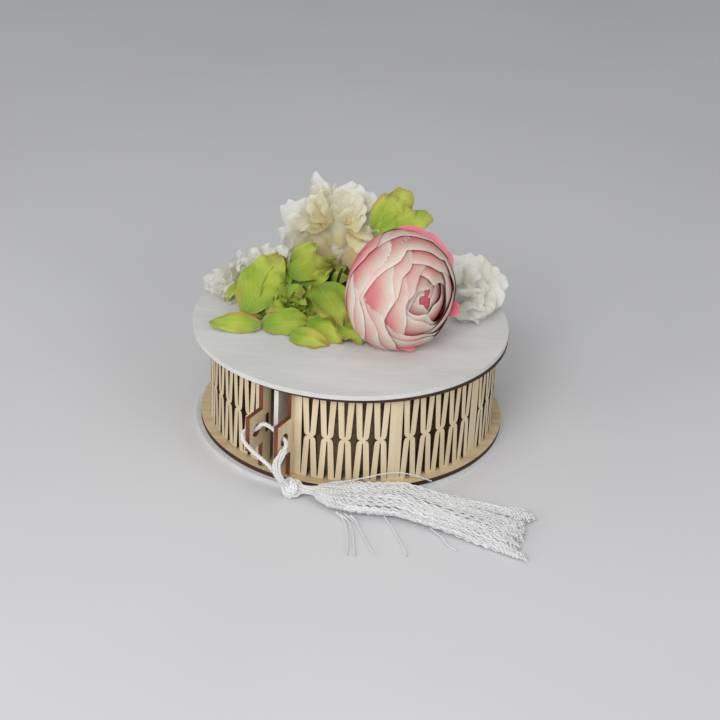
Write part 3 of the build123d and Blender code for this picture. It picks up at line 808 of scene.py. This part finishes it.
backPetals = {
    "foot": (0.26, 0.52, 0),
    "root": (374, 232, 42),
    # picture place and height of each tip, width, curl and fan share
    "tips": [
        (407, 194, 61, 21, 0.10, 0.55), (392, 199, 59, 17, 0.16, 0.45), (428, 222, 47, 19, 0.16, 0.50),
        (414, 214, 52, 17, 0.10, 0.45), (385, 214, 52, 12, 0.05, 0.4), (405, 234, 42, 16, 0.0, 0.3),
    ],
}


def makeGreenBack():
    collect = Collect()
    foot, root = onLid(*backPetals["foot"]), seen(*backPetals["root"])
    for x, y, height, width, curl, fan in backPetals["tips"]:
        shape = dict(greenShape, fan=fan, width=width, curl=curl, normal=towardsView + Vector((0, 0, 0.3)))
        ruffledPetal(collect, root, seen(x, y, height), shape, rng.uniform(0, 60))
    collect.tube([foot, (foot + root) / 2 + Vector((0, 3, 0)), root], 1.4, 8)
    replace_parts(collect.finish("greenBack", limePetal, "box"), "green_back")


makeGreenBack()


sepalSettings = {"facing": towards(28, 21), "depth": 18, "count": 5, "turn": 0.4, "reach": 20, "rise": 8}
sepalShape = dict(greenShape, rows=12, cols=8)


def makeSepals():
    collect = Collect()
    xAxis, yAxis, zAxis = axes(sepalSettings["facing"])
    back = roseSettings["centre"] - zAxis * sepalSettings["depth"]
    for k in range(sepalSettings["count"]):
        a = 2 * math.pi * k / sepalSettings["count"] + sepalSettings["turn"]
        out = xAxis * math.cos(a) + yAxis * math.sin(a)
        tip = back + out * sepalSettings["reach"] + zAxis * sepalSettings["rise"]
        shape = dict(sepalShape, width=12, curl=0.15, normal=out - zAxis)
        ruffledPetal(collect, back, tip, shape, rng.uniform(0, 60))
    # the one that shows at the left of the head
    shape = dict(sepalShape, width=9, curl=0.0, normal=towardsView)
    ruffledPetal(collect, seen(346, 309, 22), seen(360, 303, 27), shape, 3.0)
    foot = Vector((back.x, back.y, lidTop))
    collect.tube([foot, foot + Vector((0, 0, (back.z - lidTop) / 2)), back], 2.4, 10)
    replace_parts(collect.finish("roseSepals", limePetal, "box"), "rose_sepals")


makeSepals()
print("side flowers ready")


def barkMaterial():
    g = Graph("bark", Roughness=0.8)
    rough = g.noise(g.coords((500, 500, 200)), 1.0, 4)
    g.colour(g.ramp(rough, [(0.3, "2B1A10"), (0.7, "6B4A2E")]))
    g.bump(rough, 0.5, 0.0006)
    return g.material


nodes["twig"].data.materials.clear()
nodes["twig"].data.materials.append(barkMaterial())


# across the gap in shares of earSpread, out from the drum's axis in shares of the wall's
# radius, and up in shares of the wall's height
cordRoute = [
    (1.10, 1.182, 0.175), (0.74, 1.213, 0.262), (0.50, 1.218, 0.352), (0.03, 1.219, 0.420),
    (-0.46, 1.217, 0.490), (-0.84, 1.190, 0.553), (-0.87, 1.135, 0.612), (-0.52, 1.108, 0.600),
    (-0.25, 1.108, 0.722), (0.13, 1.108, 0.700), (0.49, 1.108, 0.635), (0.84, 1.118, 0.600),
    (0.86, 1.170, 0.520), (0.72, 1.215, 0.420), (0.70, 1.235, 0.300), (0.98, 1.215, 0.215),
]
strandTurn = 1.6


def gapAxes():
    # out through the gap between the doors, and along the wall to the right of it
    outward = Vector((math.sin(gapAngle), -math.cos(gapAngle), 0))
    return outward, Vector((math.cos(gapAngle), math.sin(gapAngle), 0))


def gapPoint(across, out, up):
    outward, aside = gapAxes()
    return Vector((drumShift, 0, up * wallHeight)) + outward * (out * wallRadius) + aside * (across * earSpread)


cordMaterial = threadMaterial("cordPly", "FFFFFF", "D2D0CC")
cordSettings = {"plies": 3, "ply": 0.72, "offset": 0.62, "pitch": 6.5}
tailSettings = {"strands": 5, "from": 0.545, "twist": {"plies": 2, "ply": 0.5, "offset": 0.45, "pitch": 3.6}}


def cordLine():
    # the smooth line of the route, read back from its own spline
    data = bpy.data.curves.new("cordRoute", "CURVE")
    data.dimensions = "3D"
    data.resolution_u = 12
    spline = data.splines.new("NURBS")
    points = [gapPoint(*row) for row in cordRoute]
    spline.points.add(len(points) - 1)
    for point, place in zip(spline.points, points):
        point.co = (place.x * mm, place.y * mm, place.z * mm, 1)
    spline.order_u = 3
    spline.use_endpoint_u = True
    guide = bpy.data.objects.new("cordRoute", data)
    mesh = bpy.data.meshes.new_from_object(guide)
    line = [vertex.co / mm for vertex in mesh.vertices]
    bpy.data.objects.remove(guide)
    return line


def twisted(collect, line, plies, ply, offset, pitch, turn=0):
    # strands wound round a line: their count, radius, distance from it and length of a turn
    frames, travelled, side = [], 0, None
    for i, p in enumerate(line):
        ahead = (line[min(i + 1, len(line) - 1)] - line[max(i - 1, 0)]).normalized()
        side = ahead.orthogonal() if side is None else side - ahead * side.dot(ahead)
        side.normalize()
        travelled += (p - line[max(i - 1, 0)]).length
        frames.append((p, side, ahead.cross(side), travelled))
    for k in range(plies):
        strand = []
        for p, across, other, far in frames:
            a = turn + 2 * math.pi * (k / plies + far / pitch)
            strand.append(p + (across * math.cos(a) + other * math.sin(a)) * offset)
        collect.tube(strand, ply, 7, strandTurn)


def makeCord():
    line = cordLine()
    collect = Collect()
    twisted(collect, line, **cordSettings)
    cord = collect.finish("cordLoop", cordMaterial, "box")
    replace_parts(cord, "cord")
    # the strands that run from the right lug, past the joint of the loop, into the knot
    bundle = Collect()
    last = [p for p in line[len(line) // 2:] if p.z < tailSettings["from"] * wallHeight]
    outward, aside = gapAxes()
    for k in range(tailSettings["strands"]):
        seed = rng.uniform(0, 60)
        strand = []
        for i, p in enumerate(last):
            t = i / (len(last) - 1)
            spread = 1.9 + 1.6 * t
            a = k * 1.3 + 2.4 * t
            q = p + outward * (0.9 + 0.9 * math.cos(a)) + aside * (spread * math.sin(a)) * 0.8
            sag = Vector((0, 0, 0.7 * wobble((t * 5, 0, 0), 1, seed)))
            strand.append(q + (knotPlace - p) * 0.5 * t ** 3 + sag)
        twisted(bundle, strand, **tailSettings["twist"], turn=k)
    tails = bundle.finish("cordTails", cordMaterial, "box")
    return cord, tails, line


knotPlace = Vector((-0.306, -1.029, 0.063)) * baseRadius
cordLoop, cordTails, cordPoints = makeCord()
print("cord ready")

neckEnd = Vector((-0.1185, -1.061, 0.066)) * baseRadius
# centre, half width and half height along the skirt, in shares of the base's radius
skirtStations = [
    (-0.150, -1.061, 0.062, 0.045, 0.039),
    (-0.060, -1.078, 0.064, 0.110, 0.050),
    (0.062, -1.096, 0.066, 0.142, 0.055),
    (0.350, -1.105, 0.068, 0.160, 0.062),
    (0.711, -1.221, 0.043, 0.182, 0.040),
    (0.989, -1.319, 0.031, 0.2215, 0.030),
    (1.092, -1.355, 0.029, 0.247, 0.024),
]
skirtTurn = math.radians(12)
tasselThread = threadMaterial("tasselThread", "FFFFFF", "DADAD9")
threadTurn = 3.2
knotSettings = {
    "steps": 320, "turns": 5, "waves": 4, "swing": 1.35, "radius": 5.7, "lap": 0.45, "laps": 9,
    "strand": 0.9, "core": 5.2, "lowest": 1.0,
}
neckSettings = {"threads": 46, "steps": 14, "inner": 1.6, "outer": 3.0, "radius": 0.5, "turn": 0.9}
skirtSettings = {"threads": 330, "steps": 100, "radius": 0.45, "crimp": 0.5, "crimps": 30}


def makeKnot():
    # one strand wound to and fro over a ball
    collect = Collect()
    line = []
    steps, swing = knotSettings["steps"], knotSettings["swing"]
    for i in range(steps + 1):
        t = 2 * math.pi * i / steps
        a, lift = knotSettings["turns"] * t, swing * math.sin(knotSettings["waves"] * t)
        r = knotSettings["radius"] + knotSettings["lap"] * math.cos(knotSettings["laps"] * t)
        across = r * math.cos(a) * math.cos(lift)
        p = knotPlace + Vector((across, r * math.sin(lift), r * math.sin(a) * math.cos(lift)))
        p.z = max(p.z, knotSettings["lowest"])
        line.append(p)
    collect.tube(line, knotSettings["strand"], 7, threadTurn)
    collect.ball(knotPlace, knotSettings["core"])
    knot = collect.finish("tasselKnot", tasselThread, "box")
    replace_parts(knot, "tassel_knot")


def makeNeck():
    collect = Collect()
    along = neckEnd - knotPlace
    forward = along.normalized()
    side = forward.orthogonal().normalized()
    other = forward.cross(side)
    for _ in range(neckSettings["threads"]):
        a = rng.uniform(0, 2 * math.pi)
        r = rng.uniform(neckSettings["inner"], neckSettings["outer"])
        line = []
        for i in range(neckSettings["steps"] + 1):
            t = i / neckSettings["steps"]
            waist = 1.25 - 0.5 * math.sin(math.pi * min(1, t * 1.15))
            turn = a + neckSettings["turn"] * t
            p = knotPlace + forward * (2.0 + (along.length - 1.0) * t)
            line.append(p + (side * math.cos(turn) + other * math.sin(turn)) * r * waist)
        collect.tube(line, neckSettings["radius"], 5, strandTurn)
    neck = collect.finish("tasselNeck", tasselThread, "box")
    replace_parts(neck, "tassel_neck")


def skirtPoint(share, across, height):
    # a place in the skirt: share along it, across from -1 to 1, height from -1 to 1
    place = share * (len(skirtStations) - 1)
    i = min(int(place), len(skirtStations) - 2)
    t = place - i
    x, y, z, half, thick = [a + (b - a) * t for a, b in zip(skirtStations[i], skirtStations[i + 1])]
    side = Vector((math.sin(skirtTurn), math.cos(skirtTurn), 0))
    centre = Vector((x, y, z)) * baseRadius
    p = centre + side * (across * half * baseRadius)
    p.z += height * thick * baseRadius * math.sqrt(max(0, 1 - across * across))
    return p


def clearOfRim(p, margin):
    # keeps the threads over the white rim and the wooden ring, and off the floor
    gap = 0.3
    p.z = max(p.z, margin)
    if Vector((p.x - baseShift, p.y + baseShift)).length < baseRadius + margin + gap:
        p.z = max(p.z, baseTop + gap + margin)
    if Vector((p.x - drumShift, p.y)).length < ringRadius + margin + gap:
        p.z = max(p.z, ringTop + gap + margin)
    return p


def makeSkirt():
    collect = Collect()
    radius, steps = skirtSettings["radius"], skirtSettings["steps"]
    for _ in range(skirtSettings["threads"]):
        across, height = rng.uniform(-1, 1), rng.uniform(-0.95, 1)
        # ragged tips that end in a few tufts
        end = 0.95 + 0.16 * wobble((across * 3.6, 0, 0), 1, 7) + rng.uniform(-0.08, 0.04)
        drift, loose = rng.gauss(0, 0.10), rng.random() ** 6
        seed, phase = rng.uniform(0, 90), rng.uniform(0, 6.28)
        line = []
        for i in range(steps + 1):
            s = end * i / steps
            a = across + drift * math.sin(math.pi * s) + (0.10 + 0.15 * loose) * wobble((s * 4, 0, 0), 1, seed)
            p = skirtPoint(s, max(-1, min(1, a)), height)
            p.z += (0.9 + 2.5 * loose * s) * wobble((s * 6, 3, 0), 1, seed + 5)
            turn = phase + 2 * math.pi * skirtSettings["crimps"] * s
            crimp = skirtSettings["crimp"]
            p += Vector((0, crimp * math.cos(turn), crimp * math.sin(turn)))
            line.append(clearOfRim(p, radius))
        collect.tube(line, radius, 5, threadTurn)
    skirt = collect.finish("tasselSkirt", tasselThread, "box")
    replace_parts(skirt, "tassel_skirt")


# single threads that have come loose: picture x and y with the height over the floor
looseThreads = [
    [
        (330, 486, 9), (346, 481, 11), (365, 478, 13), (381, 474, 14),
        (397, 472, 14), (414, 475, 11), (434, 482, 7),
    ],
    [(336, 512, 3), (344, 519, 1), (347, 530, 1), (348, 545, 1), (347, 556, 1)],
    [(340, 514, 3), (349, 521, 1), (353, 532, 1), (354, 545, 1), (355, 557, 1)],
    [(344, 514, 3), (353, 520, 1), (362, 532, 1), (368, 545, 1), (375, 556, 1)],
    [(350, 515, 3), (357, 521, 1), (362, 534, 1), (370, 548, 1)],
    [(384, 516, 2), (392, 527, 1), (398, 538, 1), (405, 550, 1), (407, 557, 1)],
    [(430, 528, 2), (443, 538, 1), (449, 547, 1), (458, 551, 1)],
]
strayTwist = {"plies": 2, "ply": 0.33, "offset": 0.3, "pitch": 3.0}


def makeLooseThreads():
    collect = Collect()
    for route in looseThreads:
        points = [seen(x, y, z - lidTop) for x, y, z in route]
        line = []
        for a, b in zip(points, points[1:]):
            line.extend(a.lerp(b, k / 8) for k in range(8))
        for _ in range(12):
            line = [line[0]] + [(a + b * 2 + c) / 4 for a, b, c in zip(line, line[1:], line[2:])] + [line[-1]]
        twisted(collect, [clearOfRim(p, 0.7) for p in line], **strayTwist)
    collect.finish("tasselStrays", tasselThread, "box")


makeKnot()
makeNeck()
makeSkirt()
makeLooseThreads()
print("tassel ready")


def makeStage():
    floorData = bpy.data.meshes.new("floor")
    size = 6.0
    corners = [(-size, -size, 0), (size, -size, 0), (size, size, 0), (-size, size, 0)]
    floorData.from_pydata(corners, [], [(0, 1, 2, 3)])
    floor = bpy.data.objects.new("floor", floorData)
    bpy.context.scene.collection.objects.link(floor)
    g = Graph("floorCloth", Roughness=0.9)
    cloth = g.noise(g.coords((3, 3, 3)), 1.0, 3)
    g.colour(g.ramp(cloth, [(0.3, "D2D2D4"), (0.7, "D8D8DA")]))
    floorData.materials.append(g.material)


def areaLight(name, place, target, size, energy):
    data = bpy.data.lights.new(name, "AREA")
    data.shape = "DISK"
    data.size = size
    data.energy = energy
    lamp = bpy.data.objects.new(name, data)
    bpy.context.scene.collection.objects.link(lamp)
    lamp.location = place
    lamp.rotation_euler = (Vector(target) - Vector(place)).to_track_quat("-Z", "Y").to_euler()


def makeLight():
    world = bpy.data.worlds.new("studio")
    bpy.context.scene.world = world
    world.use_nodes = True
    background = world.node_tree.nodes["Background"]
    background.inputs["Color"].default_value = (0.82, 0.83, 0.84, 1)
    background.inputs["Strength"].default_value = 0.42
    areaLight("key", (-0.45, -1.25, 1.0), (0, 0, 0.06), 0.8, 12)
    areaLight("fill", (0.9, -1.0, 0.7), (0, 0, 0.06), 0.8, 4.6)
    areaLight("side", (-1.0, -0.9, 0.4), (0, 0, 0.04), 0.6, 3.2)
    areaLight("top", (-0.2, 0.1, 1.6), (0, 0, 0.05), 1.0, 2.3)


def makeCamera():
    data = bpy.data.cameras.new("camera")
    data.sensor_width = 36
    data.lens = view["focal"] / view["size"] * data.sensor_width
    data.clip_start = 0.01
    data.clip_end = 50
    camera = bpy.data.objects.new("camera", data)
    bpy.context.scene.collection.objects.link(camera)
    right, up = viewAxes()
    forward, place = view["forward"], view["place"]
    camera.matrix_world = Matrix((
        (right.x, up.x, -forward.x, place.x),
        (right.y, up.y, -forward.y, place.y),
        (right.z, up.z, -forward.z, place.z),
        (0, 0, 0, 1),
    ))
    bpy.context.scene.camera = camera


makeStage()
makeLight()
makeCamera()
bpy.context.scene.view_settings.view_transform = "Standard"

print("cord length", round(sum((b - a).length for a, b in zip(cordPoints, cordPoints[1:])), 1))
